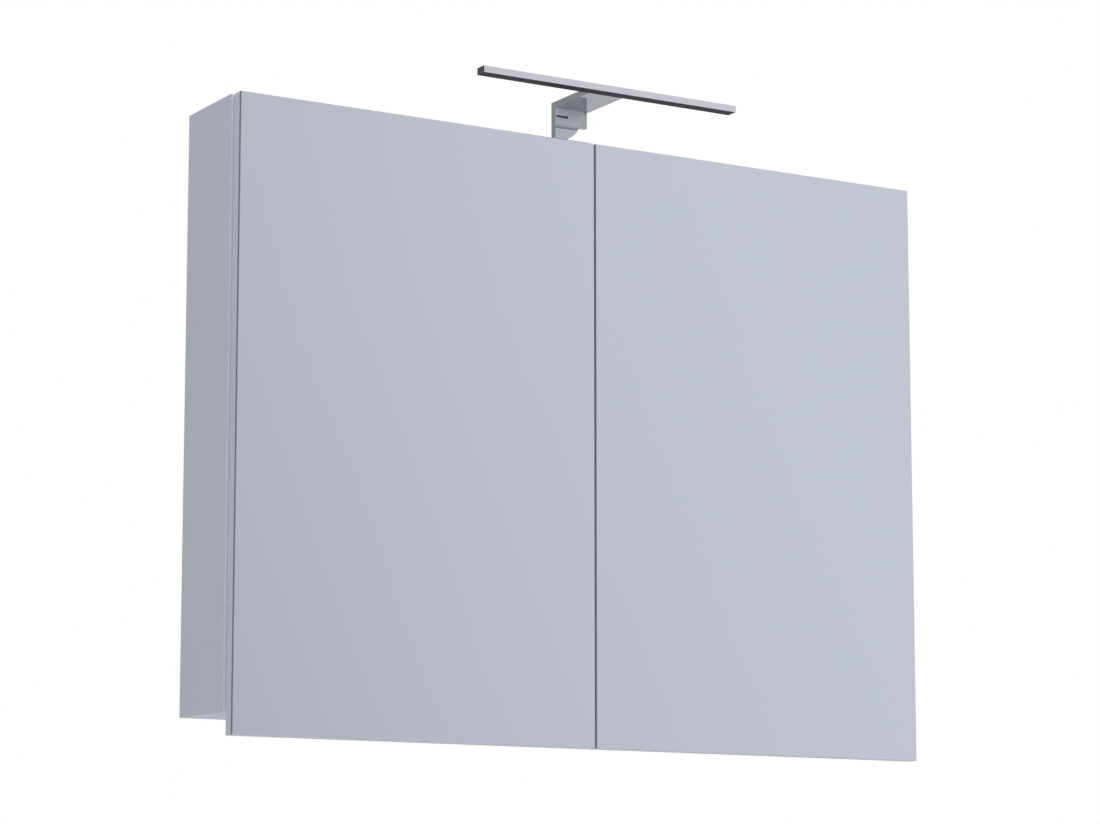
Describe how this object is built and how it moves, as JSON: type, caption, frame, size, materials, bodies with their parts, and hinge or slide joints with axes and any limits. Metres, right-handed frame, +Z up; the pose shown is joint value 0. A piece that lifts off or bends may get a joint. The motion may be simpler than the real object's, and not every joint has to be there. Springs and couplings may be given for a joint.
{
  "type": "bathroom mirror cabinet",
  "caption": "Wall-hung bathroom cabinet with mirror doors on concealed hinges, glass shelves inside and a slim lamp bar on a plated bracket above.",
  "frame": {"origin": "on the wall plane, in the middle of the wall plates' hole pattern", "axes": "+X to the right seen from the front, +Y into the wall, +Z up"},
  "size_m": [0.8, 0.1485, 0.6685],
  "materials": {
    "melamine": "satin melamine facing",
    "back_sheet": "lacquered hardboard",
    "door_board": "satin melamine facing",
    "mirror": "silvered float glass",
    "shelf_glass": "ground edges",
    "nickel": "nickel plated",
    "steel": "zinc plated",
    "zinc": "zinc plated sheet",
    "beech": "fluted beech",
    "bumper": "clear soft polymer",
    "lamp_aluminium": "bright anodised",
    "lamp_diffuser": "satin",
    "lamp_plastic": "satin",
    "circuit": "white solder mask",
    "led": "phosphor",
    "bracket_chrome": "polished plating",
    "driver_plastic": "moulded",
    "grommet": "soft"
  },
  "bodies": {
    "carcass": {"side_panel_left": "melamine", "side_panel_right": "melamine", "top_panel": "melamine", "bottom_panel": "melamine", "centre_partition": "melamine", "back_panel": "back_sheet", "cam_locks": "zinc", "cam_bolts": "steel", "wooden_dowels": "beech", "partition_screws": "steel", "glass_shelf_lower_left": "shelf_glass", "glass_shelf_lower_right": "shelf_glass", "glass_shelf_upper_left": "shelf_glass", "glass_shelf_upper_right": "shelf_glass", "shelf_pegs": "nickel", "hinge_arms_left": "nickel", "hinge_arms_right": "nickel", "hinge_plates_left": "nickel", "hinge_plates_right": "nickel", "hinge_plate_screws_left": "steel", "hinge_plate_screws_right": "steel", "hinge_clamp_screws_left": "steel", "hinge_clamp_screws_right": "steel", "hinge_adjusters_left": "steel", "hinge_adjusters_right": "steel", "wall_plate_left": "zinc", "wall_plate_right": "zinc", "hanger_bracket_left": "zinc", "hanger_bracket_right": "zinc", "hanger_screws_left": "steel", "hanger_screws_right": "steel", "lamp_bar_housing": "lamp_aluminium", "lamp_diffuser": "lamp_diffuser", "led_strip_board": "circuit", "led_chips": "led", "lamp_end_cap_left": "lamp_plastic", "lamp_end_cap_right": "lamp_plastic", "lamp_bar_screws": "steel", "lamp_bracket": "bracket_chrome", "lamp_foot_screws": "steel", "lamp_base_housing": "lamp_plastic", "lamp_base_plate": "zinc", "lamp_base_screws": "steel", "led_driver": "driver_plastic", "lead_inlet_grommet": "grommet"},
    "left_door": {"door_board_left": "door_board", "mirror_glass_left": "mirror", "door_bumpers_left": "bumper", "hinge_cups_left": "nickel", "hinge_pins_left": "steel", "hinge_cup_screws_left": "steel"},
    "right_door": {"door_board_right": "door_board", "mirror_glass_right": "mirror", "door_bumpers_right": "bumper", "hinge_cups_right": "nickel", "hinge_pins_right": "steel", "hinge_cup_screws_right": "steel"}
  },
  "joints": [
    {"name": "left_door_swing", "type": "hinge", "parent": "carcass", "child": "left_door", "pos_m": [-0.3911, -0.1061, -0.237], "axis": [0, 0, -1], "range_deg": [0, 95]},
    {"name": "right_door_swing", "type": "hinge", "parent": "carcass", "child": "right_door", "pos_m": [0.3911, -0.1061, -0.237], "axis": [0, 0, 1], "range_deg": [0, 95]}
  ]
}
